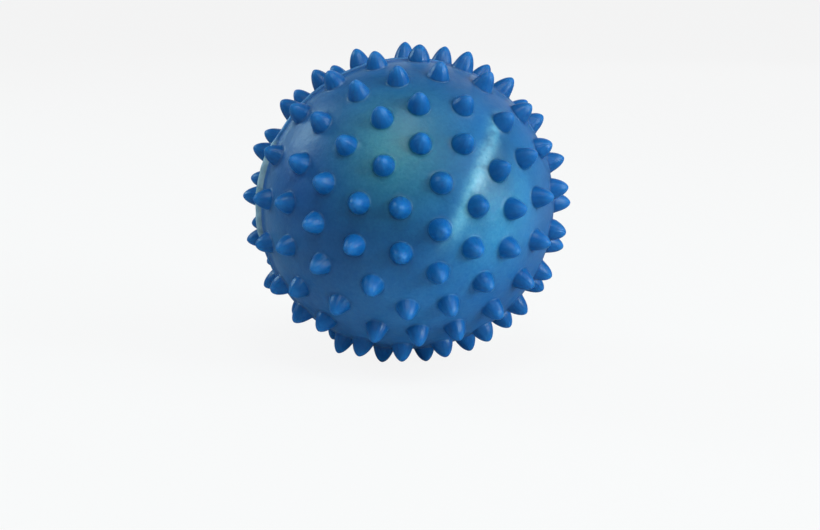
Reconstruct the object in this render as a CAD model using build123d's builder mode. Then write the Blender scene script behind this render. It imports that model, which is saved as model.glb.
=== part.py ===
from build123d import *
import math
import os

# Spiky massage ball: a soft hollow PVC ball, moulded as two half shells that
# meet at a parting plane, with solid massage spikes standing on both halves.
# Frame: origin at the ball's centre, +Z up, mould axis along Y with the front
# half on -Y and the valve on +Y. All lengths in millimetres.

# ---- driving dimensions ------------------------------------------------------
BALL_R = 40.4            # bare ball, outside radius
WALL = 2.3               # wall thickness of the soft shell
SPIKE_H = 4.6            # spike height above the bare ball
SPIKE_R = 2.95           # spike radius at the ball's surface
SPIKE_TIP_R = 1.15       # rounding of the blunt tip
SPIKE_ROOT = 1.1         # how deep the spike's root reaches into the wall
ROOT_FILLET = 0.35       # small fillet where a spike meets the ball

# Spikes stand in rings about the mould axis: (angle from the pole, number of
# spikes, azimuth of the first one). Azimuth 0 is +X and 90 is +Z.
RINGS = [
    (16.0, 6, -30.7),
    (32.0, 12, -19.6),
    (48.2, 17, 9.6),
    (64.2, 20, 153.9),
    (80.2, 21, 155.6),
]
REAR_TURN = 108.2        # the rear half is the front half turned end for end

# Parting seam between the halves
SEAM_W = 1.8             # width of the weld bead along the mould axis
SEAM_PROUD = 0.55        # how far the bead's crown stands above the ball
SEAM_SHIFT = 0.45        # bead's middle, a little behind the parting plane
SEAM_INSIDE = 0.35       # small bead left on the inside of the wall

# Inflation valve at the rear pole: a bonded seat with a removable stopper
SEAT_R = 4.9             # seat's barrel, through the wall
SEAT_LIP_R = 6.1         # shallow outer lip around the mouth
SEAT_LIP_PROUD = 0.45    # lip's height above the ball
SEAT_FLANGE_R = 7.8      # inner flange, bonded behind the wall
SEAT_FLANGE_T = 1.5
SEAT_DEPTH = 8.2         # seat's length inward from the ball's surface
SEAT_NECK_R = 4.3        # seat's inner end
PLUG_HEAD_R = 3.9        # stopper's head, sunk in the seat's mouth
PLUG_HEAD_T = 1.3
PLUG_SUNK = 0.10         # head's face below the seat's lip
PLUG_R = 2.6             # tapered barrel, at the head
PLUG_TIP_R = 2.3         # and at its inner end
PLUG_LEN = 9.0           # stopper's whole length
PLUG_GAP = 0.06          # clearance between stopper and seat
NEEDLE_R = 1.0           # pump-needle hole in the stopper
NEEDLE_LEN = 5.4         # its depth, down to the self-closing end
NEEDLE_LEAD = 0.25       # chamfer at its mouth

# Meridian, as an azimuth, on which each shell's surface begins and ends: it
# runs clear of every spike's edge.
FRONT_MERIDIAN = 325.5
REAR_MERIDIAN = 142.5

os.makedirs("parts", exist_ok=True)


def direction(theta, azimuth, front):
    """Unit vector of a spike at theta from its own half's pole."""
    t, a = math.radians(theta), math.radians(azimuth)
    y = -math.cos(t) if front else math.cos(t)
    return Vector(math.sin(t) * math.cos(a), y, math.sin(t) * math.sin(a))


def half_directions(front):
    dirs = []
    if front:
        dirs.append(Vector(0, -1, 0))          # pole spike, front only
    for theta, count, first in RINGS:
        start = first if front else REAR_TURN - first
        for i in range(count):
            dirs.append(direction(theta, start + i * 360.0 / count, front))
    return dirs


def spike_locations(front):
    """Frames on the ball's surface with their z along each spike."""
    return [Plane(origin=d * BALL_R, z_dir=d).location for d in half_directions(front)]


def meridian_plane(azimuth):
    """Plane through the mould axis; its local y is the row's +Y."""
    a = math.radians(azimuth)
    return Plane(
        origin=(0, 0, 0),
        x_dir=(math.cos(a), 0, math.sin(a)),
        z_dir=(-math.sin(a), 0, math.cos(a)),
    )


# ---- one massage spike -------------------------------------------------------
# A gumdrop: convex flanks, blunt rounded tip, a small concave fillet at the
# foot, and a short root that is buried in the wall. Local origin on the ball's
# surface, +Z outwards.
with BuildPart() as spike:
    with BuildSketch(Plane.XZ):
        with BuildLine():
            root = Line((0, -SPIKE_ROOT), (SPIKE_R + 0.55, -SPIKE_ROOT))
            root_side = Line(root @ 1, (SPIKE_R + 0.55, -0.30))
            foot = Line(root_side @ 1, (SPIKE_R + 0.12, -0.03))
            foot_fillet = Spline(
                foot @ 1,
                (SPIKE_R - 0.05, ROOT_FILLET),
                tangents=[(-0.43, 0.27), (-0.10, 1.0)],
            )
            flank = Spline(
                foot_fillet @ 1,
                (SPIKE_R * 0.875, SPIKE_H * 0.30),
                (SPIKE_R * 0.685, SPIKE_H * 0.585),
                (SPIKE_TIP_R * 1.08, SPIKE_H * 0.845),
                (0, SPIKE_H),
                tangents=[(-0.10, 1.0), (-1.0, 0.0)],
            )
            axis_line = Line(flank @ 1, root @ 0)
        make_face()
    revolve(axis=Axis.Z)

# ---- seam bead ---------------------------------------------------------------
# A narrow ring that closes the joint between the halves, through the full
# thickness of the wall, with a rounded crown proud of the ball.
seam_lo = SEAM_SHIFT - SEAM_W / 2
seam_hi = SEAM_SHIFT + SEAM_W / 2
r_lo = math.sqrt(BALL_R**2 - seam_lo**2)
r_hi = math.sqrt(BALL_R**2 - seam_hi**2)
ri_lo = math.sqrt((BALL_R - WALL) ** 2 - seam_lo**2)
ri_hi = math.sqrt((BALL_R - WALL) ** 2 - seam_hi**2)
with BuildPart() as seam_weld:
    with BuildSketch(Plane.XY):
        with BuildLine():
            front_edge = Line((ri_lo, seam_lo), (r_lo, seam_lo))
            crown = ThreePointArc(
                (r_lo, seam_lo), (BALL_R + SEAM_PROUD, SEAM_SHIFT), (r_hi, seam_hi)
            )
            rear_edge = Line((r_hi, seam_hi), (ri_hi, seam_hi))
            inner = ThreePointArc(
                (ri_hi, seam_hi),
                (BALL_R - WALL - SEAM_INSIDE, SEAM_SHIFT),
                (ri_lo, seam_lo),
            )
        make_face()
    revolve(axis=Axis.Y)
seam_weld.part.label = "seam_weld"
export_step(seam_weld.part, "parts/seam_weld.step")


# ---- front half shell --------------------------------------------------------
with BuildPart() as front_half_shell:
    with BuildSketch(meridian_plane(FRONT_MERIDIAN)):
        with BuildLine():
            f_cut = Line((ri_lo, seam_lo), (r_lo, seam_lo))
            f_out = RadiusArc((r_lo, seam_lo), (0, -BALL_R), BALL_R)
            f_pole = Line((0, -BALL_R), (0, -(BALL_R - WALL)))
            f_in = RadiusArc((0, -(BALL_R - WALL)), (ri_lo, seam_lo), -(BALL_R - WALL))
        make_face()
    revolve(axis=Axis.Y)
    with Locations(*spike_locations(True)):
        add(spike.part)
front_half_shell.part.label = "front_half_shell"
export_step(front_half_shell.part, "parts/front_half_shell.step")

# ---- rear half shell ---------------------------------------------------------
with BuildPart() as rear_half_shell:
    with BuildSketch(meridian_plane(REAR_MERIDIAN)):
        with BuildLine():
            r_cut = Line((ri_hi, seam_hi), (r_hi, seam_hi))
            r_out = RadiusArc((r_hi, seam_hi), (0, BALL_R), -BALL_R)
            r_pole = Line((0, BALL_R), (0, BALL_R - WALL))
            r_in = RadiusArc((0, BALL_R - WALL), (ri_hi, seam_hi), BALL_R - WALL)
        make_face()
    revolve(axis=Axis.Y)
    # hole for the valve seat, through the wall at the rear pole
    with BuildSketch(Plane.XZ.offset(-(BALL_R + 1))):
        Circle(SEAT_R)
    extrude(amount=WALL + 3, mode=Mode.SUBTRACT)
    with Locations(*spike_locations(False)):
        add(spike.part)
rear_half_shell.part.label = "rear_half_shell"
export_step(rear_half_shell.part, "parts/rear_half_shell.step")

# ---- valve seat --------------------------------------------------------------
# Thick soft bush through the wall: a shallow lip outside, a flange bonded to
# the inside of the wall, and a tapered bore with a counterbore for the head.
lip_y = BALL_R + SEAT_LIP_PROUD
head_y = lip_y - PLUG_SUNK
shoulder_y = head_y - PLUG_HEAD_T
seat_end_y = BALL_R - SEAT_DEPTH
plug_end_y = head_y - PLUG_LEN
slope = (PLUG_R - PLUG_TIP_R) / (shoulder_y - plug_end_y)


def barrel_r(y):
    """Radius of the stopper's tapered barrel at height y."""
    return PLUG_TIP_R + slope * (y - plug_end_y)


inner_r = BALL_R - WALL
with BuildPart() as valve_seat:
    with BuildSketch(Plane.XY):
        with BuildLine():
            Polyline(
                (barrel_r(seat_end_y) + PLUG_GAP, seat_end_y),
                (PLUG_R + PLUG_GAP, shoulder_y - PLUG_GAP),
                (PLUG_HEAD_R + PLUG_GAP, shoulder_y - PLUG_GAP),
                (PLUG_HEAD_R + PLUG_GAP, lip_y - 0.15),
                (PLUG_HEAD_R + PLUG_GAP + 0.15, lip_y),
                (SEAT_R, lip_y),
            )
            lip_top = Spline(
                (SEAT_R, lip_y),
                (SEAT_LIP_R, math.sqrt(BALL_R**2 - SEAT_LIP_R**2)),
                tangents=[(1, -0.02), (0.55, -1)],
            )
            under_lip = RadiusArc(
                lip_top @ 1, (SEAT_R, math.sqrt(BALL_R**2 - SEAT_R**2)), -BALL_R
            )
            neck = Line(under_lip @ 1, (SEAT_R, math.sqrt(inner_r**2 - SEAT_R**2)))
            flange_top = RadiusArc(
                neck @ 1,
                (SEAT_FLANGE_R, math.sqrt(inner_r**2 - SEAT_FLANGE_R**2)),
                inner_r,
            )
            Polyline(
                flange_top @ 1,
                (SEAT_FLANGE_R - 0.25, (flange_top @ 1).Y - SEAT_FLANGE_T),
                (SEAT_R + 0.4, (flange_top @ 1).Y - SEAT_FLANGE_T),
                (SEAT_NECK_R + 0.2, (flange_top @ 1).Y - SEAT_FLANGE_T - 0.8),
                (SEAT_NECK_R, seat_end_y + 0.5),
                (SEAT_NECK_R - 0.5, seat_end_y),
                (barrel_r(seat_end_y) + PLUG_GAP, seat_end_y),
            )
        make_face()
    revolve(axis=Axis.Y)
valve_seat.part.label = "valve_seat"
export_step(valve_seat.part, "parts/valve_seat.step")

# ---- valve stopper -----------------------------------------------------------
# Self-closing rubber stopper: flat head with a needle hole, tapered barrel.
with BuildPart() as valve_stopper:
    with BuildSketch(Plane.XY):
        with BuildLine():
            Polyline(
                (0, head_y - NEEDLE_LEN),
                (NEEDLE_R, head_y - NEEDLE_LEN),
                (NEEDLE_R, head_y - NEEDLE_LEAD),
                (NEEDLE_R + NEEDLE_LEAD, head_y),
                (PLUG_HEAD_R - 0.25, head_y),
                (PLUG_HEAD_R, head_y - 0.25),
                (PLUG_HEAD_R, shoulder_y),
                (PLUG_R, shoulder_y),
                (PLUG_TIP_R, plug_end_y + 0.8),
                (PLUG_TIP_R - 0.8, plug_end_y),
                (0, plug_end_y),
                (0, head_y - NEEDLE_LEN),
            )
        make_face()
    revolve(axis=Axis.Y)
valve_stopper.part.label = "valve_stopper"
export_step(valve_stopper.part, "parts/valve_stopper.step")
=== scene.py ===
import math

import bpy
import numpy as np
from mathutils import Matrix, Vector
from mathutils.geometry import delaunay_2d_cdt


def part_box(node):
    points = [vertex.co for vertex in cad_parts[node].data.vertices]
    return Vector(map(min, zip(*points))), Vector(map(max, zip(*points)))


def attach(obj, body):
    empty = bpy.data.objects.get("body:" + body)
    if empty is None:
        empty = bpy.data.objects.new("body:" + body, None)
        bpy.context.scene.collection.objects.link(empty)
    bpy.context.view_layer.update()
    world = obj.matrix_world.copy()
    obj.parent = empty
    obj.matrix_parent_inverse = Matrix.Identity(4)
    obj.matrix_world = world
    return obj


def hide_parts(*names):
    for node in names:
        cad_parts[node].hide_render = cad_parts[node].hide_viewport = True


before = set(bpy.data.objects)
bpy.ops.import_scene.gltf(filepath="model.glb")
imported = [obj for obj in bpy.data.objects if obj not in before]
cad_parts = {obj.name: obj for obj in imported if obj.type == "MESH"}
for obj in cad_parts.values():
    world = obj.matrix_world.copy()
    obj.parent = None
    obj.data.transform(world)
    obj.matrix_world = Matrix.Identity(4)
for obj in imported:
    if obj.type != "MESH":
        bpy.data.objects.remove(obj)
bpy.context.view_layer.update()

MM = 0.001
rng = np.random.default_rng(7)

# ---- sizes of the ball, in metres, in the CAD frame ----------------------------
seam_lo, seam_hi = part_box("seam_weld")
SEAM_Y0, SEAM_Y1 = seam_lo.y, seam_hi.y            # the bead's two edges
R = seam_hi.x - 0.55 * MM                          # bare ball
WALL = 2.3 * MM
H = 4.6 * MM                                       # spike height
FOOT = 3.30 * MM                                   # spike's foot, fillet included
seat_lo, seat_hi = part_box("valve_seat")
HOLE_R = 4.9 * MM                                  # hole for the valve's seat

# the soft ball stands a little flattened under its own weight
SQUASH = np.array([1.004, 1.004, 0.988])

RINGS = [(16.0, 6, -30.7), (32.0, 12, -19.6), (48.2, 17, 9.6), (64.2, 20, 153.9), (80.2, 21, 155.6)]
REAR_TURN = 108.2

# How far each front spike strays from its ring: degrees away from the pole,
# degrees along the ring, and share of its height. A soft skin never keeps its
# mould's pattern exactly.
FRONT_DRIFT = [
    (-0.1, -0.1, 0), (-1.6, -0.2, 0.01), (-0, -0.2, 0.07), (1, -1, 0), (0.5, 0.4, 0), (0.7, 1.1, 0),
    (0.3, -0.1, 0.03), (-2.8, 0.5, 0.02), (-1.8, 0.1, 0.11), (-0.3, -0.1, 0.07), (1.8, -0.2, 0),
    (0.9, -0.6, 0), (-0.5, -0.4, 0), (-0.6, 0.8, 0), (0.4, 1, 0), (1.1, 1.4, 0), (2, 0.9, -0),
    (-0.8, -0.4, 0.06), (-3.3, -0.4, -0.03), (-1.8, 0.8, 0.11), (-1.6, 1.3, 0.09), (3.5, -0.2, -0.04),
    (2.4, -0.4, -0.07), (0.8, 0.3, 0.04), (-0.2, -1, 0.05), (-0.2, -0.3, 0), (-0.9, 0.3, 0),
    (0.1, 0.1, 0), (0.4, 0.2, -0.05), (2.7, 0.9, -0.07), (2.4, 1.5, 0.07), (-1.4, 0.3, 0.07),
    (-1.6, -1, -0.02), (-2.4, -0.7, 0.02), (-1.7, -0.5, 0.04), (-2.5, -0.2, 0.03), (-2.3, 0.8, -0.04),
    (-1, 0.7, -0.06), (-0.3, 1.1, -0.09), (1.2, 1.6, -0.07), (2.8, 1.8, -0.02), (5.5, 2.8, 0.01),
    (-0.3, 0.1, -0.02), (-1.7, -0.8, -0.07), (-0.8, 0, -0.06), (1.1, -0, -0.03), (3, -0.8, -0.08),
    (0.1, -0.3, -0.05), (1.8, -0.8, 0.01), (-0, 0.1, -0.1), (4.6, -2, -0.02), (5.5, -1.1, 0.07),
    (2.4, 0.3, -0.04), (-0, -0.3, 0.01), (0.5, -1.2, -0.04), (0.7, -0, -0.05), (0.7, 1.1, -0.08),
    (-1.1, 1.3, -0.05), (1.2, 1.7, -0.12), (3, 2.6, -0.07), (2.1, -1, 0.04), (0.6, 0.9, 0.12),
    (1.5, 0.4, -0.05), (3.1, 0.1, -0.05), (-0.5, -0.7, -0), (-2, -1.2, 0.01), (-2, -0.1, 0),
    (-2, 0.1, 0.01), (-2.5, -0.2, 0.04), (-1.5, -0.9, 0.04), (-0.1, -1, -0.04), (2.4, -1, 0.12),
    (4.1, -0.9, 0.11), (3.9, -0.5, -0.04), (1.4, -0.7, -0.04), (1.6, -0.6, -0.06), (0.4, -0.3, -0.06),
]
REAR_DRIFT = {
    70: (2.7, 0.3, 0.11), 69: (0.3, 0.3, 0.01), 68: (0.1, 0.6, 0.01), 67: (0.1, -0.1, 0.02),
    66: (0.1, -2.1, 0.01), 65: (0.4, -0.9, 0.07), 64: (1.5, -0.1, 0.12), 63: (1.6, -0.6, 0.10),
    62: (2.9, 1.9, 0.12, 0.3), 61: (2.9, 2.4, 0.13, 0.9), 60: (2.9, 0.0, 0.12, 0.6), 48: (2.2, 1.0, 0.03),
    47: (2.4, 0.5, 0.05), 46: (2.9, -0.3, 0.07), 45: (3.7, -1.6, 0.09), 44: (3.2, -1.4, 0.06),
}


def unit(v):
    v = np.asarray(v, float)
    return v / np.linalg.norm(v, axis=-1, keepdims=True)


def spike_dirs(front):
    """Unit vectors of one half's spikes, in ring order, with each one's drift, their height factors and their bends."""
    out, tall, bend, k = [], [], [], 0
    if front:
        rings = [(0.0, 1, 0.0)] + RINGS
    else:
        rings = [(t, n, REAR_TURN - f) for t, n, f in RINGS]
    sy = -1.0 if front else 1.0
    for theta, count, first in rings:
        for j in range(count):
            t = math.radians(theta)
            a = math.radians(first + j * 360.0 / count)
            d = np.array([math.sin(t) * math.cos(a), sy * math.cos(t), math.sin(t) * math.sin(a)])
            loose = (float(rng.normal(0, 0.7)), float(rng.normal(0, 0.7)), float(rng.normal(0, 0.022)))
            dt, da, dh, *more = FRONT_DRIFT[k] if front else REAR_DRIFT.get(k, loose)
            e_t = np.array([math.cos(t) * math.cos(a), -sy * math.sin(t), math.cos(t) * math.sin(a)])
            e_a = np.array([-math.sin(a), 0.0, math.cos(a)])
            d = unit(d + math.radians(dt) * e_t + math.radians(da) * e_a)
            out.append(d)
            tall.append(1.0 + dh)
            bend.append((more[0] if more else 0.0) * MM * e_t)
            k += 1
    return np.array(out), tall, bend


def frame_of(d):
    """Two unit vectors square to d."""
    ref = np.array([0.0, 0.0, 1.0]) if abs(d[2]) < 0.9 else np.array([1.0, 0.0, 0.0])
    e1 = unit(np.cross(ref, d))
    return e1, np.cross(d, e1)


# ---- the camera, needed early because the dent faces it -------------------------
CAM_AZ, CAM_EL, CAM_D, CAM_F = -12.094, 8.961, 10.3, 1501.9
AIM = (406.77, 204.92)


def camera_basis():
    """Camera place and its right, up and forward, so that the ball's centre lands at AIM."""
    a, e = math.radians(CAM_AZ), math.radians(CAM_EL)
    c = np.array([math.sin(a) * math.cos(e), -math.cos(a) * math.cos(e), math.sin(e)]) * CAM_D * R
    f = unit(-c)
    r = unit(np.cross(f, [0, 0, 1]))
    u = np.cross(r, f)
    tx, ty = (AIM[0] - 410) / CAM_F, (265 - AIM[1]) / CAM_F

    def rot(k, an, w):
        return w * math.cos(an) + np.cross(k, w) * math.sin(an) + k * np.dot(k, w) * (1 - math.cos(an))

    for _ in range(3):
        x = np.array([np.dot(-c, r), np.dot(-c, u), np.dot(-c, f)])
        da = math.atan(x[0] / x[2]) - math.atan(tx)
        db = math.atan(x[1] / x[2]) - math.atan(ty)
        f, r = rot(u, -da, f), rot(u, -da, r)
        f, u = rot(r, db, f), rot(r, db, u)
    return c, r, u, f


CAM_POS, CAM_R, CAM_U, CAM_FWD = camera_basis()
VIEW_C = unit(CAM_POS)                              # from the ball towards the camera
VIEW_R = unit(np.cross(-VIEW_C, [0, 0, 1]))
VIEW_U = np.cross(VIEW_R, -VIEW_C)


def seen(x, y):
    """Unit direction, on the ball, of a place (x, y) in ball radii right and up of its middle."""
    z = math.sqrt(max(0.0, 1 - x * x - y * y))
    return unit(VIEW_R * x + VIEW_U * y + VIEW_C * z)


# ---- soft shape: a shallow pressed-in place and a rounded crease beside it --------
def smooth01(t):
    t = np.clip(t, 0.0, 1.0)
    return t * t * (3 - 2 * t)


# where the fold runs: (up, right) of the ball's middle, in ball radii
FOLD = np.array([[-0.60, -0.10], [-0.48, 0.04], [-0.33, 0.16], [-0.20, 0.235], [-0.10, 0.270], [0.00, 0.330],
                 [0.10, 0.39], [0.27, 0.455], [0.38, 0.468], [0.47, 0.50], [0.56, 0.54], [0.75, 0.59]])
FOLD_FIT = np.polyfit(FOLD[:, 0], FOLD[:, 1], 4)
FOLD_W = 0.024                                      # how sharp the fold is
DENT_T = 0.36                                       # how far the dent's bottom lies from it
DENT_D = 1.60 * MM                                  # how deep


def soft_shape(u):
    """Radial offset of the soft skin, in metres, for unit directions u."""
    x = u @ VIEW_R
    y = u @ VIEW_U
    z = u @ VIEW_C
    front = smooth01((z - 0.05) / 0.35)
    s = x - np.polyval(FOLD_FIT, np.clip(y, -0.62, 0.77))
    along = smooth01((y + 0.62) / 0.50) * smooth01((0.76 - y) / 0.30)
    t = FOLD_W * np.logaddexp(0.0, -s / FOLD_W) / DENT_T
    dent = -DENT_D * t * np.exp(1 - t)
    swell = 0.25 * MM * np.exp(-(((s - 0.03) / 0.10) ** 2))
    # broad, low unevenness of a soft blown skin, all round
    wob = 0.12 * MM * (
        np.sin(3.1 * u[:, 0] + 1.3) * np.sin(2.7 * u[:, 2] + 0.4)
        + 0.6 * np.sin(4.3 * u[:, 1] + 2.1 * u[:, 2] + 0.9)
        + 0.35 * np.sin(9.1 * u[:, 0] - 3.0 * u[:, 2] + 0.2) * np.sin(7.7 * u[:, 2] + 2.2 * u[:, 1])
    )
    return (dent + swell) * along * front + wob


def fold_side(u):
    """1 on the far side of the fold from the dent, 0 in the dent; it limits some painted light patches to that far
    side.
    """
    x, y, z = u @ VIEW_R, u @ VIEW_U, u @ VIEW_C
    s = x - np.polyval(FOLD_FIT, np.clip(y, -0.62, 0.77))
    # the fold blurs out towards its two ends
    blur = 0.040 + 0.22 * (1 - smooth01((y + 0.62) / 0.42)) + 0.14 * (1 - smooth01((0.80 - y) / 0.30))
    return smooth01(0.5 + s / (2 * blur)) * smooth01((z + 0.1) / 0.3)


def fold_crest(u):
    """1 along the top of the fold, where the stretched plastic is smoothest and where a highlight is painted into the
    colour.
    """
    x, y, z = u @ VIEW_R, u @ VIEW_U, u @ VIEW_C
    s = x - np.polyval(FOLD_FIT, np.clip(y, -0.62, 0.77))
    run = smooth01((y + 0.38) / 0.35) * smooth01((0.66 - y) / 0.16)
    w = np.where(s < 0.033, 0.050, 0.062)
    return np.exp(-(((s - 0.033) / w) ** 2)) * run * smooth01(z / 0.3)


BAND_W = 4.3 * MM                                   # smooth band beside the seam, front side
BAND_H = 0.42 * MM


def band(u):
    """0 to 1: how far a place lies on the smooth raised band along the seam."""
    d = (SEAM_Y0 - u[:, 1] * R) / BAND_W             # 0 at the seam, 1 at the band's edge
    return smooth01((d - 0.10) / 0.25) * (1 - smooth01((d - 0.70) / 0.30))


def rim(u):
    """0 to 1: the edge of the skin just past that band."""
    d = (SEAM_Y0 - u[:, 1] * R) / BAND_W
    return smooth01((d - 0.80) / 0.20) * (1 - smooth01((d - 1.05) / 1.6))


def deform(p):
    """Ideal positions to the soft ball's own."""
    r = np.linalg.norm(p, axis=1)
    u = p / np.maximum(r, 1e-9)[:, None]
    q = p + u * soft_shape(u)[:, None]
    outside = smooth01((r - (R - 0.5 * MM)) / (0.4 * MM))
    q = q + u * (BAND_H * band(u) * outside)[:, None]
    return q * SQUASH


# ---- one spike's outline: (radius, height) from the foot to the tip --------------
KNOTS = np.array([
    [3.30, None], [3.14, -0.045], [3.03, 0.10], [2.945, 0.33], [2.83, 0.75], [2.67, 1.25],
    [2.45, 1.85], [2.16, 2.50], [1.80, 3.15], [1.38, 3.72], [0.92, 4.17], [0.46, 4.47], [0.0, 4.58],
], dtype=object)
KNOTS[0, 1] = (math.sqrt((R / MM) ** 2 - 3.30**2) - R / MM)
KNOTS = KNOTS.astype(float)


def catmull(points, per):
    out = []
    p = np.vstack([2 * points[0] - points[1], points, [[-points[-2][0], points[-2][1]]]])
    for i in range(1, len(p) - 2):
        for s in range(per):
            t = s / per
            a, b, c, d = p[i - 1], p[i], p[i + 1], p[i + 2]
            out.append(0.5 * ((2 * b) + (-a + c) * t + (2 * a - 5 * b + 4 * c - d) * t * t + (-a + 3 * b - 3 * c + d) * t**3))
    out.append(points[-1])
    return np.array(out)


PROFILE = catmull(KNOTS, 2) * MM
SEG = 32


def stereo(p, sy):
    """Stereographic map of unit directions from the pole at -sy, which keeps angles."""
    return np.stack([p[:, 0], p[:, 2]], 1) / (1.0 + sy * p[:, 1])[:, None]


def fibonacci(n):
    i = np.arange(n) + 0.5
    y = 1 - 2 * i / n
    a = i * math.pi * (3 - math.sqrt(5))
    s = np.sqrt(1 - y * y)
    return np.stack([s * np.cos(a), y, s * np.sin(a)], 1)


def skin(radius, sy, edge_y, rings_xyz, keep_out, spacing, n_edge):
    """Triangulated part of a sphere: pole at sy*Y, edge circle at y=edge_y, with
    holes bounded by the given rings of points. Returns points, triangles and the
    index range of each ring and of the edge."""
    pts, spans = [], []
    n = 0
    for ring in rings_xyz:
        pts.append(unit(ring))
        spans.append((n, n + len(ring)))
        n += len(ring)
    a = np.arange(n_edge) * 2 * math.pi / n_edge
    ce = edge_y / radius
    se = math.sqrt(1 - ce * ce)
    edge = np.stack([se * np.cos(a), np.full(n_edge, ce), se * np.sin(a)], 1)
    pts.append(edge)
    edge_span = (n, n + n_edge)
    n += n_edge
    count = int(4 * math.pi * radius**2 / (spacing**2 * 0.866))
    free = fibonacci(count)
    free = free[sy * (free[:, 1] - ce) > 0.45 * spacing / radius]
    for c, ang in keep_out:
        free = free[free @ c < math.cos(ang)]
    pts.append(free)
    p = np.vstack(pts)
    flat = stereo(p, sy)
    cons = []
    for lo, hi in spans + [edge_span]:
        cons += [(i, i + 1 if i + 1 < hi else lo) for i in range(lo, hi)]
    v2, _, faces, ov, _, _ = delaunay_2d_cdt([Vector(q) for q in flat], cons, [], 0, 1e-7)
    if len(v2) != len(p):
        raise RuntimeError("the skin's points merged")
    new_to_old = [o[0] for o in ov]
    ring_of = np.full(len(p), -1)
    for k, (lo, hi) in enumerate(spans):
        ring_of[lo:hi] = k
    tris = np.array([[new_to_old[i] for i in f] for f in faces])
    inside_hole = (ring_of[tris[:, 0]] >= 0) & (ring_of[tris[:, 0]] == ring_of[tris[:, 1]]) & (ring_of[tris[:, 1]] == ring_of[tris[:, 2]])
    tris = tris[~inside_hole]
    q = p * radius
    # outward winding
    nrm = np.cross(q[tris[:, 1]] - q[tris[:, 0]], q[tris[:, 2]] - q[tris[:, 0]])
    flip = (nrm * q[tris[:, 0]]).sum(1) < 0
    tris[flip] = tris[flip][:, ::-1]
    return q, tris, spans, edge_span


def bridge(a, b):
    """Quads between two closed loops of the same length."""
    n = len(a)
    return [(a[i], a[(i + 1) % n], b[(i + 1) % n], b[i]) for i in range(n)]


def ring_on(d, rho, n, radius, phase=0.0):
    e1, e2 = frame_of(d)
    a = np.arange(n) * 2 * math.pi / n + phase
    z = math.sqrt(radius**2 - rho**2)
    return d * z + rho * (np.cos(a)[:, None] * e1 + np.sin(a)[:, None] * e2)


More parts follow.
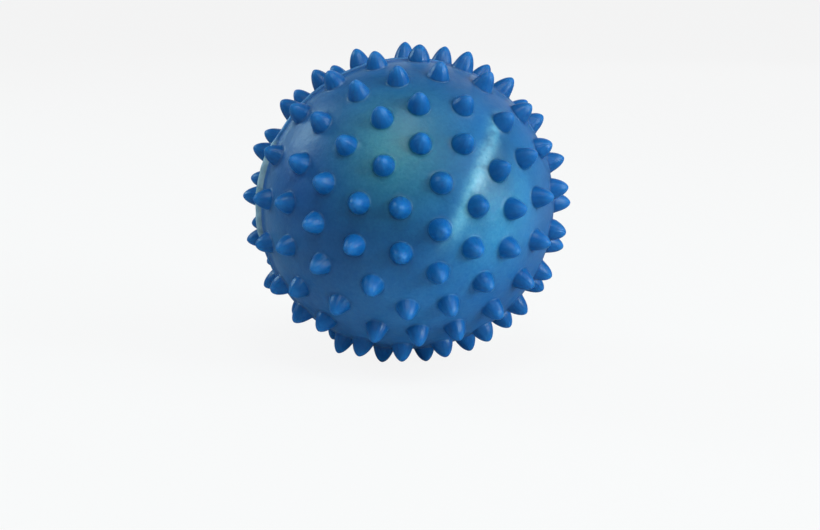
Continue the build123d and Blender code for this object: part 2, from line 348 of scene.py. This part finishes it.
def build_half(name, front):
    sy = -1.0 if front else 1.0
    edge_y = SEAM_Y0 + 0.02 * MM if front else SEAM_Y1 - 0.02 * MM
    dirs, tall, bend = spike_dirs(front)
    rings = [ring_on(d, FOOT, SEG, R) for d in dirs]
    keep = [(d, math.asin(FOOT / R) + 0.55 * MM / R) for d in dirs]
    pole = np.array([0.0, sy, 0.0])
    n_hole = 64
    if not front:
        rings.append(ring_on(pole, HOLE_R, n_hole, R))
        keep.append((pole, math.asin(HOLE_R / R) + 0.5 * MM / R))
    # close rings of points round each foot keep the fillet's shading clean
    outer, tris, spans, edge = skin(R, sy, edge_y, rings, keep, 0.95 * MM, 256)
    verts = [outer]
    faces = [tuple(t) for t in tris.tolist()]
    n = len(outer)
    height = [np.zeros(n)]
    tone = [np.zeros(n)]
    # how near each skin point is to a spike's foot
    u = unit(outer)
    near = np.full(n, 9.0)
    for d in dirs:
        near = np.minimum(near, np.arccos(np.clip(u @ d, -1, 1)) * R / MM - FOOT / MM)
    foot = [np.clip(near, 0, 9.0)]
    meridian = [np.zeros((n, 3))]
    for k, d in enumerate(dirs):
        lo, hi = spans[k]
        e1, e2 = frame_of(d)
        hs = tall[k]
        rs = 1.0 + rng.normal(0, 0.018)
        lean = rng.normal(0, 0.10, 2) * MM + np.array([bend[k] @ e1, bend[k] @ e2])
        oval, oval_a = rng.normal(0, 0.018), rng.uniform(0, math.pi)
        t_k = rng.uniform(-1, 1)
        ang = np.arange(SEG) * 2 * math.pi / SEG
        flute = sum(rng.normal(0, s) * np.cos(m * ang + rng.uniform(0, 6.28)) for m, s in ((3, 0.010), (5, 0.009), (7, 0.006)))
        prev = list(range(lo, hi))
        a = np.arange(SEG) * 2 * math.pi / SEG
        for rho, z in PROFILE[1:-1]:
            w = smooth01(np.array([(z / H) / 0.25]))[0] if z > 0 else 0.0
            zz = z * (1 + (hs - 1) * w)
            rr = rho * (1 + (rs - 1) * w) * (1 + w * (oval * np.cos(2 * (a - oval_a)) + flute))
            ln = lean * max(z / H, 0) ** 1.6
            pt = d * (R + zz) + (rr * np.cos(a) + ln[0])[:, None] * e1 + (rr * np.sin(a) + ln[1])[:, None] * e2
            verts.append(pt)
            cur = list(range(n, n + SEG))
            n += SEG
            faces += bridge(prev, cur)
            prev = cur
            height.append(np.full(SEG, np.clip(z / H, 0, 1)))
            tone.append(np.full(SEG, t_k))
            foot.append(np.zeros(SEG))
            meridian.append(np.stack([np.cos(a), np.sin(a), np.full(SEG, 3.7 * k)], 1))
        tip = d * (R + PROFILE[-1][1] * hs) + e1 * lean[0] + e2 * lean[1]
        verts.append(tip[None])
        faces += [(prev[i], prev[(i + 1) % SEG], n) for i in range(SEG)]
        n += 1
        height.append(np.ones(1))
        tone.append(np.full(1, t_k))
        foot.append(np.zeros(1))
        meridian.append(np.array([[0.0, 0.0, 3.7 * k]]))
    # inner face of the wall, its own coarser skin, turned inside out
    r_in = R - WALL
    holes_in = [] if front else [ring_on(pole, HOLE_R, n_hole, r_in)]
    keep_in = [] if front else [(pole, math.asin(HOLE_R / r_in) + 0.8 * MM / r_in)]
    inner, itris, ispans, iedge = skin(r_in, sy, edge_y, holes_in, keep_in, 2.3 * MM, 256)
    faces += [tuple(x + n for x in t[::-1]) for t in itris.tolist()]
    e_out, e_in = list(range(*edge)), [i + n for i in range(*iedge)]
    faces += bridge(e_out, e_in)
    if not front:
        h_out, h_in = list(range(*spans[-1])), [i + n for i in range(*ispans[-1])]
        faces += bridge(h_out, h_in)
    verts.append(inner)
    height.append(np.zeros(len(inner)))
    tone.append(np.zeros(len(inner)))
    foot.append(np.full(len(inner), 9.0))
    meridian.append(np.zeros((len(inner), 3)))
    ideal = np.vstack(verts)
    pos = deform(ideal)
    # the seat's hole stays round and in place, because the valve is stiffer
    if not front:
        near_pole = np.linalg.norm(ideal[:, [0, 2]], axis=1)
        w = 1 - smooth01((near_pole - 6.2 * MM) / (5.0 * MM))
        w = w * (ideal[:, 1] > 0)
        pos = pos * (1 - w)[:, None] + ideal * w[:, None]
    me = bpy.data.meshes.new(name)
    me.from_pydata([tuple(p) for p in pos], [], faces)
    me.validate()
    bm_fix(me)
    side, strip = [fold_side(unit(ideal))], [band(unit(ideal))]
    for key, data in (("spk", height), ("tone", tone), ("foot", foot), ("side", side), ("band", strip), ("crest", [fold_crest(unit(ideal))]), ("rim", [rim(unit(ideal))]), ("mer", meridian)):
        data = np.concatenate(data).astype(np.float32)
        if data.ndim == 2:
            at = me.attributes.new(key, "FLOAT_VECTOR", "POINT")
            at.data.foreach_set("vector", data.reshape(-1))
        else:
            at = me.attributes.new(key, "FLOAT", "POINT")
            at.data.foreach_set("value", data)
    ob = bpy.data.objects.new(name, me)
    bpy.context.scene.collection.objects.link(ob)
    for p in me.polygons:
        p.use_smooth = True
    return ob


def bm_fix(me):
    """Make every face of a closed mesh look outward."""
    import bmesh
    bm = bmesh.new()
    bm.from_mesh(me)
    bmesh.ops.recalc_face_normals(bm, faces=bm.faces)
    bm.to_mesh(me)
    bm.free()


def lathe(name, outline, n, axis_y=True, wobble=None):
    """Closed body of revolution about Y from (radius, y) points, first and last on
    the axis or joined to each other."""
    pts = np.asarray(outline, float)
    closed = abs(pts[0][0]) > 1e-9
    verts, loops = [], []
    a = np.arange(n) * 2 * math.pi / n
    for r, y in pts:
        if r < 1e-9:
            loops.append([len(verts)])
            verts.append((0.0, y, 0.0))
        else:
            loops.append(list(range(len(verts), len(verts) + n)))
            for t in a:
                dr, dy = wobble(t, r, y) if wobble else (0.0, 0.0)
                verts.append(((r + dr) * math.cos(t), y + dy, (r + dr) * math.sin(t)))
    faces = []
    pairs = list(zip(loops[:-1], loops[1:])) + ([(loops[-1], loops[0])] if closed else [])
    for p, q in pairs:
        if len(p) == 1:
            faces += [(p[0], q[(i + 1) % n], q[i]) for i in range(n)]
        elif len(q) == 1:
            faces += [(p[i], p[(i + 1) % n], q[0]) for i in range(n)]
        else:
            faces += bridge(p, q)
    me = bpy.data.meshes.new(name)
    me.from_pydata(verts, [], faces)
    me.validate()
    bm_fix(me)
    for p in me.polygons:
        p.use_smooth = True
    ob = bpy.data.objects.new(name, me)
    bpy.context.scene.collection.objects.link(ob)
    return ob


front_skin = build_half("front_shell_skin", True)
rear_skin = build_half("rear_shell_skin", False)


# ---- materials ------------------------------------------------------------------
class Tree:
    """Small helper for building a node material."""

    def __init__(self, name):
        self.mat = bpy.data.materials.new(name)
        self.mat.use_nodes = True
        self.nt = self.mat.node_tree
        self.nt.nodes.clear()
        self.out = self.nt.nodes.new("ShaderNodeOutputMaterial")
        self.bsdf = self.nt.nodes.new("ShaderNodeBsdfPrincipled")
        self.nt.links.new(self.bsdf.outputs[0], self.out.inputs["Surface"])

    def node(self, kind, **props):
        n = self.nt.nodes.new(kind)
        for k, v in props.items():
            setattr(n, k, v)
        return n

    def link(self, a, b):
        self.nt.links.new(a, b)

    def value(self, x):
        n = self.node("ShaderNodeValue")
        n.outputs[0].default_value = x
        return n.outputs[0]

    def math(self, op, a, b=None, c=None, clamp=False):
        n = self.node("ShaderNodeMath", operation=op, use_clamp=clamp)
        for i, x in enumerate((a, b, c)):
            if x is None:
                continue
            if isinstance(x, (int, float)):
                n.inputs[i].default_value = x
            else:
                self.link(x, n.inputs[i])
        return n.outputs[0]

    def attr(self, name):
        n = self.node("ShaderNodeAttribute", attribute_name=name)
        return n.outputs["Fac"]

    def coords(self):
        return self.node("ShaderNodeTexCoord").outputs["Object"]

    def noise(self, vec, scale, detail=2.0, rough=0.5, distortion=0.0):
        n = self.node("ShaderNodeTexNoise")
        self.link(vec, n.inputs["Vector"])
        n.inputs["Scale"].default_value = scale
        n.inputs["Detail"].default_value = detail
        n.inputs["Roughness"].default_value = rough
        n.inputs["Distortion"].default_value = distortion
        return n.outputs["Fac"]

    def ramp(self, fac, lo, hi, a=0.0, b=1.0):
        n = self.node("ShaderNodeMapRange", interpolation_type="SMOOTHSTEP")
        self.link(fac, n.inputs["Value"])
        n.inputs["From Min"].default_value = lo
        n.inputs["From Max"].default_value = hi
        n.inputs["To Min"].default_value = a
        n.inputs["To Max"].default_value = b
        return n.outputs["Result"]

    def mix(self, fac, a, b, blend="MIX"):
        n = self.node("ShaderNodeMix", data_type="RGBA", blend_type=blend)
        if isinstance(fac, (int, float)):
            n.inputs[0].default_value = fac
        else:
            self.link(fac, n.inputs[0])
        for i, x in ((6, a), (7, b)):
            if isinstance(x, (tuple, list)):
                n.inputs[i].default_value = (*x[:3], 1.0)
            else:
                self.link(x, n.inputs[i])
        return n.outputs[2]

    def dot(self, vec, d):
        n = self.node("ShaderNodeVectorMath", operation="DOT_PRODUCT")
        self.link(vec, n.inputs[0])
        n.inputs[1].default_value = tuple(d)
        return n.outputs["Value"]

    def bump(self, height, strength, distance, normal=None):
        n = self.node("ShaderNodeBump")
        n.inputs["Strength"].default_value = strength
        n.inputs["Distance"].default_value = distance
        self.link(height, n.inputs["Height"])
        if normal is not None:
            self.link(normal, n.inputs["Normal"])
        return n.outputs["Normal"]


def srgb(r, g, b):
    def f(c):
        c = c / 255.0
        return c / 12.92 if c <= 0.04045 else ((c + 0.055) / 1.055) ** 2.4
    return (f(r), f(g), f(b))


# Broad, soft patches of painted light, shade and sheen in the base colour, standing in for light coming through the
# hollow ball:
# (right, up, towards the viewer, tightness, only past the fold, colour gain).
PAINTED_LIGHT_PATCHES = [
    (-0.12, 0.35, 0.93, 11.4, False, (2.67, 2.16, 0.94)),
    (-0.44, -0.11, 0.89, 11.4, False, (0.37, 0.67, 0.74)),
    (0.49, 0.33, 0.81, 11.4, True, (0.37, 0.37, 0.38)),
    (0.55, -0.08, 0.83, 19.9, True, (2.72, 1.95, 1.31)),
    (-0.90, -0.16, 0.39, 12.8, False, (1.82, 1.32, 1.11)),
    (0.45, -0.29, 0.84, 4.2, False, (0.60, 1.06, 1.12)),
    (0.68, 0.27, 0.68, 14.2, False, (0.70, 1.82, 1.74)),
    (-0.01, -0.65, 0.76, 11.4, False, (1.40, 1.42, 1.24)),
    (0.13, 0.67, 0.73, 9.0, False, (0.37, 0.76, 0.83)),
    (-0.58, 0.25, 0.78, 11.3, False, (0.55, 0.75, 1.01)),
    (-0.05, -0.22, 0.98, 22.7, False, (0.37, 0.64, 0.71)),
    (0.29, 0.28, 0.92, 16.7, False, (0.37, 0.62, 0.71)),
    (0.86, 0.13, 0.49, 15.5, False, (2.23, 0.94, 0.84)),
    (0.43, 0.80, 0.42, 15.5, False, (2.23, 1.02, 0.89)),
]  # end of glows
# the same kind of painted light and shade patches on the side turned away
REAR_PAINTED_LIGHT_PATCHES = [
    (-0.45, 0.50, -0.74, 6.0, False, (1.70, 1.28, 1.02)),
    (0.30, 0.70, -0.65, 9.0, False, (1.45, 1.22, 1.06)),
    (0.55, -0.25, -0.80, 7.0, False, (0.78, 0.84, 0.93)),
    (-0.35, -0.40, -0.85, 8.0, False, (1.20, 1.12, 1.04)),
]

SHELL_BASE = srgb(35, 86, 139)
SPIKE_BASE = srgb(12, 82, 142)


def pvc(name, base, spike, sss=0.30):
    t = Tree(name)
    co = t.coords()
    nv = t.node("ShaderNodeVectorMath", operation="NORMALIZE")
    t.link(co, nv.inputs[0])
    u = nv.outputs["Vector"]
    col = t.mix(0.0, base, base)
    foot = t.attr("foot")
    side = t.attr("side")
    # painted light, shade and sheen: each patch scales the base colour
    for gx, gy, gz, k, sided, gain in PAINTED_LIGHT_PATCHES + REAR_PAINTED_LIGHT_PATCHES:
        d = unit(VIEW_R * gx + VIEW_U * gy + VIEW_C * gz)
        w = t.math("EXPONENT", t.math("MULTIPLY", t.math("SUBTRACT", t.dot(u, d), 1.0), k))
        if sided:
            w = t.math("MULTIPLY", w, side)
        n = t.node("ShaderNodeVectorMath", operation="MULTIPLY_ADD")
        n.inputs[1].default_value = tuple(g - 1.0 for g in gain)
        n.inputs[2].default_value = (1.0, 1.0, 1.0)
        t.link(w, n.inputs[0])
        m = t.node("ShaderNodeVectorMath", operation="MULTIPLY")
        t.link(col, m.inputs[0])
        t.link(n.outputs[0], m.inputs[1])
        col = m.outputs[0]
    # the seam's smooth band is a purer blue, the skin beside it a little paler and greyer
    rim = t.attr("rim")
    col = t.mix(t.math("MULTIPLY", rim, 0.40), col, srgb(88, 122, 162))
    col = t.mix(t.math("MULTIPLY", t.attr("band"), 0.80), col, srgb(14, 78, 140))
    # painted highlight along the fold's crest, a pale teal tint in the base colour,
    # laid on in patches
    patch = t.ramp(t.noise(co, 190.0, 2.0, 0.6, 0.2), 0.36, 0.62)
    crest = t.math("MULTIPLY", t.attr("crest"), t.math("MULTIPLY_ADD", patch, 0.75, 0.35))
    col = t.mix(t.math("MULTIPLY", crest, 0.46), col, srgb(112, 182, 206))
    spk = t.attr("spk")
    is_spike = t.ramp(spk, 0.0, 0.10)
    tone = t.attr("tone")
    spike_col = t.mix(t.math("MULTIPLY_ADD", tone, 0.5, 0.5), tuple(c * 0.93 for c in spike), tuple(c * 1.07 for c in spike))
    # spikes are paler towards the tip
    spike_col = t.mix(t.math("MULTIPLY", t.ramp(spk, 0.45, 1.0), 0.32), spike_col, srgb(40, 120, 184))
    col = t.mix(is_spike, col, spike_col)
    # painted shade gathered at each spike's foot, on the skin round it and the spike's lowest part
    gap = t.ramp(foot, 0.0, 0.75)
    low = t.ramp(spk, 0.0, 0.16)
    shade = t.math("MAXIMUM", t.math("MULTIPLY", gap, t.math("LESS_THAN", spk, 0.001)), low)
    col = t.mix(shade, t.mix(1.0, col, (0.88, 0.90, 0.95), "MULTIPLY"), col)
    # cloudy mottling of the plastic, grain, and a few specks of dust
    cloud = t.noise(co, 95.0, 3.0, 0.55, 0.3)
    col = t.mix(1.0, col, t.mix(t.ramp(cloud, 0.30, 0.70), (0.92, 0.94, 0.96), (1.08, 1.06, 1.04)), "MULTIPLY")
    grain = t.noise(co, 1500.0, 3.0, 0.7)
    col = t.mix(1.0, col, t.mix(t.ramp(grain, 0.25, 0.75), (0.78, 0.90, 0.95), (1.22, 1.10, 1.05)), "MULTIPLY")
    mottle = t.noise(co, 720.0, 2.0, 0.6)
    col = t.mix(1.0, col, t.mix(t.ramp(mottle, 0.30, 0.70), (0.84, 0.95, 0.98), (1.16, 1.05, 1.02)), "MULTIPLY")
    vor = t.node("ShaderNodeTexVoronoi", feature="F1", distance="EUCLIDEAN")
    t.link(co, vor.inputs["Vector"])
    vor.inputs["Scale"].default_value = 90.0
    pick = t.node("ShaderNodeSeparateColor")
    t.link(vor.outputs["Color"], pick.inputs[0])
    speck = t.math("MULTIPLY", t.math("LESS_THAN", vor.outputs["Distance"], 0.022), t.math("LESS_THAN", pick.outputs[0], 0.22))
    col = t.mix(t.math("MULTIPLY", speck, 0.65), col, srgb(16, 44, 74))
    b = t.bsdf
    t.link(col, b.inputs["Base Color"])
    rough = t.math("MULTIPLY_ADD", cloud, 0.10, 0.35)
    crest = t.math("MULTIPLY", crest, t.math("SUBTRACT", 1.0, is_spike))
    rough = t.math("MULTIPLY_ADD", grain, 0.10, t.math("SUBTRACT", rough, 0.05))
    rough = t.math("MULTIPLY_ADD", is_spike, -0.09, rough)
    t.link(t.math("MULTIPLY_ADD", crest, -0.10, rough), b.inputs["Roughness"])
    shine = t.math("MULTIPLY_ADD", is_spike, -0.04, 0.27)
    t.link(t.math("MULTIPLY_ADD", crest, 0.12, shine), b.inputs["Specular IOR Level"])
    b.inputs["IOR"].default_value = 1.50
    b.subsurface_method = "RANDOM_WALK"
    b.inputs["Subsurface Weight"].default_value = sss
    b.inputs["Subsurface Radius"].default_value = (0.35, 0.8, 1.6)
    b.inputs["Subsurface Scale"].default_value = 2.0 * MM
    # fine orange peel on the skin, drawn-out marks up each spike
    mer = t.node("ShaderNodeAttribute", attribute_name="mer").outputs["Vector"]
    streak = t.noise(mer, 2.6, 3.0, 0.65)
    n1 = t.bump(t.noise(co, 1300.0, 2.0, 0.6), 0.45, 0.10 * MM)
    pits = t.math("MULTIPLY", t.noise(co, 560.0, 1.0, 0.5), t.math("MULTIPLY_ADD", is_spike, -0.75, 1.0))
    n1 = t.bump(pits, 0.45, 0.16 * MM, n1)
    n2 = t.bump(t.noise(co, 240.0, 2.0, 0.5), 0.25, 0.35 * MM, n1)
    n3 = t.bump(t.math("MULTIPLY", streak, is_spike), 0.45, 0.45 * MM, n2)
    t.link(n3, b.inputs["Normal"])
    return t.mat


mat_shell = pvc("soft_blue_pvc", SHELL_BASE, SPIKE_BASE)
for ob, node in ((front_skin, "front_half_shell"), (rear_skin, "rear_half_shell")):
    ob.data.materials.append(mat_shell)
    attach(ob, "ball")
    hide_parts(node)

# ---- seam bead -------------------------------------------------------------------
YM = (SEAM_Y0 + SEAM_Y1) / 2
HW = (SEAM_Y1 - SEAM_Y0) / 2


def seam_outline():
    """The bead's section, from the inner wall round its proud top and back."""
    y0, y1 = SEAM_Y0, SEAM_Y1
    r0 = math.sqrt(R * R - y0 * y0)
    ri = R - WALL
    w = y1 - y0
    out = [(ri, y0), (r0 - 0.45 * MM, y0), (r0 - 0.40 * MM, y0 + 0.08 * MM), (r0 - 0.22 * MM, y0 + 0.22 * MM)]
    for k in range(15):
        a = math.pi * k / 14
        out.append((r0 + (0.02 + 0.60 * math.sin(a) ** 0.75) * MM, y0 + 0.34 * MM + (w - 0.40 * MM) * (0.5 - 0.5 * math.cos(a))))
    out.append((math.sqrt(R * R - y1 * y1) - 0.05 * MM, y1))
    out.append((ri, y1))
    for k in range(1, 4):
        out.append((ri - 0.3 * MM * math.sin(math.pi * k / 4), y1 + (y0 - y1) * k / 4))
    return out


def pale_part(t):
    """Where round the seam the bead is thick and pale, 0 to 1."""
    out = 0.0
    for mid, half in ((173.0, 20.0),):
        d = abs((math.degrees(t) - mid + 180) % 360 - 180)
        out = max(out, float(smooth01(np.array([(half - d) / 12.0 + 0.5]))[0]))
    return out


def seam_wobble(t, r, y):
    k = min(max((r - (R - 0.10 * MM)) / (0.6 * MM), 0.0), 1.0)
    return (k * MM * (0.85 * pale_part(t) + 0.05 * math.sin(11 * t + 0.5) + 0.04 * math.sin(31 * t + 2.0) + 0.03 * math.sin(73 * t)), 0.0)


seam_bead = lathe("seam_bead", seam_outline(), 512, wobble=seam_wobble)
co = np.zeros(len(seam_bead.data.vertices) * 3)
seam_bead.data.vertices.foreach_get("co", co)
co = co.reshape(-1, 3)
pale = np.array([pale_part(math.atan2(z, x)) for x, _, z in co], dtype=np.float32)
seam_bead.data.vertices.foreach_set("co", deform(co).reshape(-1))
seam_bead.data.attributes.new("pale", "FLOAT", "POINT").data.foreach_set("value", pale)
seam_bead.data.update()

t = Tree("seam_pvc")
co_n = t.coords()
col = t.mix(t.ramp(t.noise(co_n, 260.0, 3.0), 0.35, 0.65), srgb(112, 144, 162), srgb(144, 172, 184))
blue = t.mix(t.ramp(t.noise(co_n, 200.0, 3.0), 0.35, 0.65), srgb(28, 94, 150), srgb(44, 112, 168))
col = t.mix(t.ramp(t.math("MULTIPLY_ADD", t.noise(co_n, 150.0, 2.0), 0.5, t.math("SUBTRACT", t.attr("pale"), 0.25)), 0.2, 0.8), blue, col)
t.link(col, t.bsdf.inputs["Base Color"])
t.bsdf.inputs["Roughness"].default_value = 0.42
t.bsdf.inputs["Subsurface Weight"].default_value = 0.3
t.bsdf.inputs["Subsurface Radius"].default_value = (0.6, 0.9, 1.4)
t.bsdf.inputs["Subsurface Scale"].default_value = 1.2 * MM
t.link(t.bump(t.noise(co_n, 1300.0, 2.0), 0.15, 0.1 * MM), t.bsdf.inputs["Normal"])
seam_bead.data.materials.append(t.mat)
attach(seam_bead, "ball")
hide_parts("seam_weld")

# ---- valve, carried over from the CAD, with its own materials ----------------------
t = Tree("seat_pvc")
co_n = t.coords()
col = t.mix(t.ramp(t.noise(co_n, 420.0, 3.0), 0.3, 0.7), srgb(30, 88, 150), srgb(40, 104, 166))
t.link(col, t.bsdf.inputs["Base Color"])
t.link(t.math("MULTIPLY_ADD", t.noise(co_n, 700.0, 2.0), 0.15, 0.34), t.bsdf.inputs["Roughness"])
t.link(t.bump(t.noise(co_n, 1500.0, 2.0), 0.15, 0.1 * MM), t.bsdf.inputs["Normal"])
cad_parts["valve_seat"].data.materials.clear()
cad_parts["valve_seat"].data.materials.append(t.mat)

t = Tree("stopper_rubber")
co_n = t.coords()
col = t.mix(t.ramp(t.noise(co_n, 500.0, 3.0), 0.3, 0.7), srgb(206, 208, 204), srgb(222, 224, 220))
t.link(col, t.bsdf.inputs["Base Color"])
t.bsdf.inputs["Roughness"].default_value = 0.55
t.link(t.bump(t.noise(co_n, 2200.0, 2.0), 0.2, 0.08 * MM), t.bsdf.inputs["Normal"])
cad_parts["valve_stopper"].data.materials.clear()
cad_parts["valve_stopper"].data.materials.append(t.mat)

# ---- floor, world, lights ------------------------------------------------------------
lowest = min(v.co.z for o in (front_skin, rear_skin) for v in o.data.vertices)
FLOOR_Z = lowest - 0.0001


def make_floor():
    """One sheet: flat under the ball, then curving up far behind it."""
    f = unit([CAM_FWD[0], CAM_FWD[1], 0.0])
    s = np.array([f[1], -f[0], 0.0])
    prof = [(-6.0, 0.0)] + [(-6.0 + 0.75 * i, 0.0) for i in range(1, 14)]
    for i in range(1, 25):
        a = i / 24 * math.pi / 2
        prof.append((4.5 + 3.0 * math.sin(a), 3.0 - 3.0 * math.cos(a)))
    prof += [(7.5, 6.0), (7.5, 10.0)]
    verts, faces = [], []
    for k, (d, z) in enumerate(prof):
        for x in (-12.0, 12.0):
            verts.append(tuple(f * d + s * x + np.array([0, 0, FLOOR_Z + z])))
        if k:
            faces.append((2 * k - 2, 2 * k - 1, 2 * k + 1, 2 * k))
    me = bpy.data.meshes.new("floor_sheet")
    me.from_pydata(verts, [], faces)
    for p in me.polygons:
        p.use_smooth = True
    ob = bpy.data.objects.new("floor_sheet", me)
    bpy.context.scene.collection.objects.link(ob)
    m = bpy.data.materials.new("pale_floor")
    m.use_nodes = True
    nt = m.node_tree
    nt.nodes.clear()
    out = nt.nodes.new("ShaderNodeOutputMaterial")
    dif = nt.nodes.new("ShaderNodeBsdfDiffuse")
    em = nt.nodes.new("ShaderNodeEmission")
    em.inputs["Color"].default_value = (1, 1, 1, 1)
    em.inputs["Strength"].default_value = 0.948
    mix = nt.nodes.new("ShaderNodeMixShader")
    lp = nt.nodes.new("ShaderNodeLightPath")
    mul = nt.nodes.new("ShaderNodeMath")
    mul.operation = "MULTIPLY"
    mul.inputs[1].default_value = 0.93
    nt.links.new(lp.outputs["Is Camera Ray"], mul.inputs[0])
    # matt enough to light the ball without a mirror-like haze on its skin
    tone = nt.nodes.new("ShaderNodeMix")
    tone.data_type = "RGBA"
    tone.inputs[6].default_value = (0.80, 0.80, 0.80, 1)
    tone.inputs[7].default_value = (0.20, 0.20, 0.20, 1)
    nt.links.new(lp.outputs["Is Glossy Ray"], tone.inputs[0])
    nt.links.new(tone.outputs[2], dif.inputs["Color"])
    nt.links.new(mul.outputs[0], mix.inputs[0])
    nt.links.new(dif.outputs[0], mix.inputs[1])
    nt.links.new(em.outputs[0], mix.inputs[2])
    nt.links.new(mix.outputs[0], out.inputs["Surface"])
    ob.data.materials.append(m)
    return ob


floor = make_floor()

world = bpy.data.worlds.new("studio")
bpy.context.scene.world = world
world.use_nodes = True
bg = world.node_tree.nodes["Background"]
bg.inputs[0].default_value = (0.86, 0.93, 1.0, 1)
lp = world.node_tree.nodes.new("ShaderNodeLightPath")
lvl = world.node_tree.nodes.new("ShaderNodeMapRange")
lvl.inputs["To Min"].default_value = 0.34
lvl.inputs["To Max"].default_value = 0.17
world.node_tree.links.new(lp.outputs["Is Glossy Ray"], lvl.inputs["Value"])
world.node_tree.links.new(lvl.outputs[0], bg.inputs[1])
# what the camera itself sees past the sheet is as pale as the sheet
pale_bg = world.node_tree.nodes.new("ShaderNodeBackground")
pale_bg.inputs[0].default_value = (0.925, 0.925, 0.925, 1)
see = world.node_tree.nodes.new("ShaderNodeMixShader")
world.node_tree.links.new(lp.outputs["Is Camera Ray"], see.inputs[0])
world.node_tree.links.new(bg.outputs[0], see.inputs[1])
world.node_tree.links.new(pale_bg.outputs[0], see.inputs[2])
world_out = next(n for n in world.node_tree.nodes if n.type == "OUTPUT_WORLD")
world.node_tree.links.new(see.outputs[0], world_out.inputs["Surface"])


def area(name, right, up, toward, dist, size, power, colour=(1, 1, 1)):
    d = unit(VIEW_R * right + VIEW_U * up + VIEW_C * toward)
    light = bpy.data.lights.new(name, "AREA")
    light.shape = "RECTANGLE"
    light.size, light.size_y = size
    light.energy = power
    light.color = colour
    ob = bpy.data.objects.new(name, light)
    ob.location = Vector(d * dist)
    ob.rotation_euler = Vector(-d).to_track_quat("-Z", "Y").to_euler()
    bpy.context.scene.collection.objects.link(ob)
    return ob


area("soft_right", 0.82, 0.37, 0.41, 0.9, (0.70, 0.80), 6.2, (0.80, 0.96, 1.0))
area("key_right", 0.81, 0.19, 0.55, 0.9, (0.15, 0.20), 3.1, (0.78, 1.0, 1.0))
area("window_left", -0.786, 0.550, -0.28, 1.0, (0.32, 0.34), 3.4, (0.62, 0.95, 1.0))
area("top_fill", -0.15, 0.70, 0.70, 1.2, (1.1, 1.1), 3.8, (0.80, 0.95, 1.0))
area("rear_fill", 0.22, 0.55, -0.80, 1.3, (0.9, 0.9), 1.5, (0.92, 0.95, 1.0))
area("top_key", 0.05, 0.78, 0.62, 1.0, (0.32, 0.28), 3.0, (0.84, 1.0, 0.94))

# ---- camera --------------------------------------------------------------------------
cam_data = bpy.data.cameras.new("camera")
cam_data.sensor_width = 36.0
cam_data.sensor_fit = "HORIZONTAL"
cam_data.lens = CAM_F / 820.0 * 36.0
cam_data.clip_start = 0.01
cam_data.clip_end = 100.0
cam = bpy.data.objects.new("camera", cam_data)
m = Matrix.Identity(4)
for i in range(3):
    m[i][0], m[i][1], m[i][2], m[i][3] = CAM_R[i], CAM_U[i], -CAM_FWD[i], CAM_POS[i]
cam.matrix_world = m
bpy.context.scene.collection.objects.link(cam)
bpy.context.scene.camera = cam

bpy.context.scene.view_settings.view_transform = "Standard"
bpy.context.scene.view_settings.look = "None"
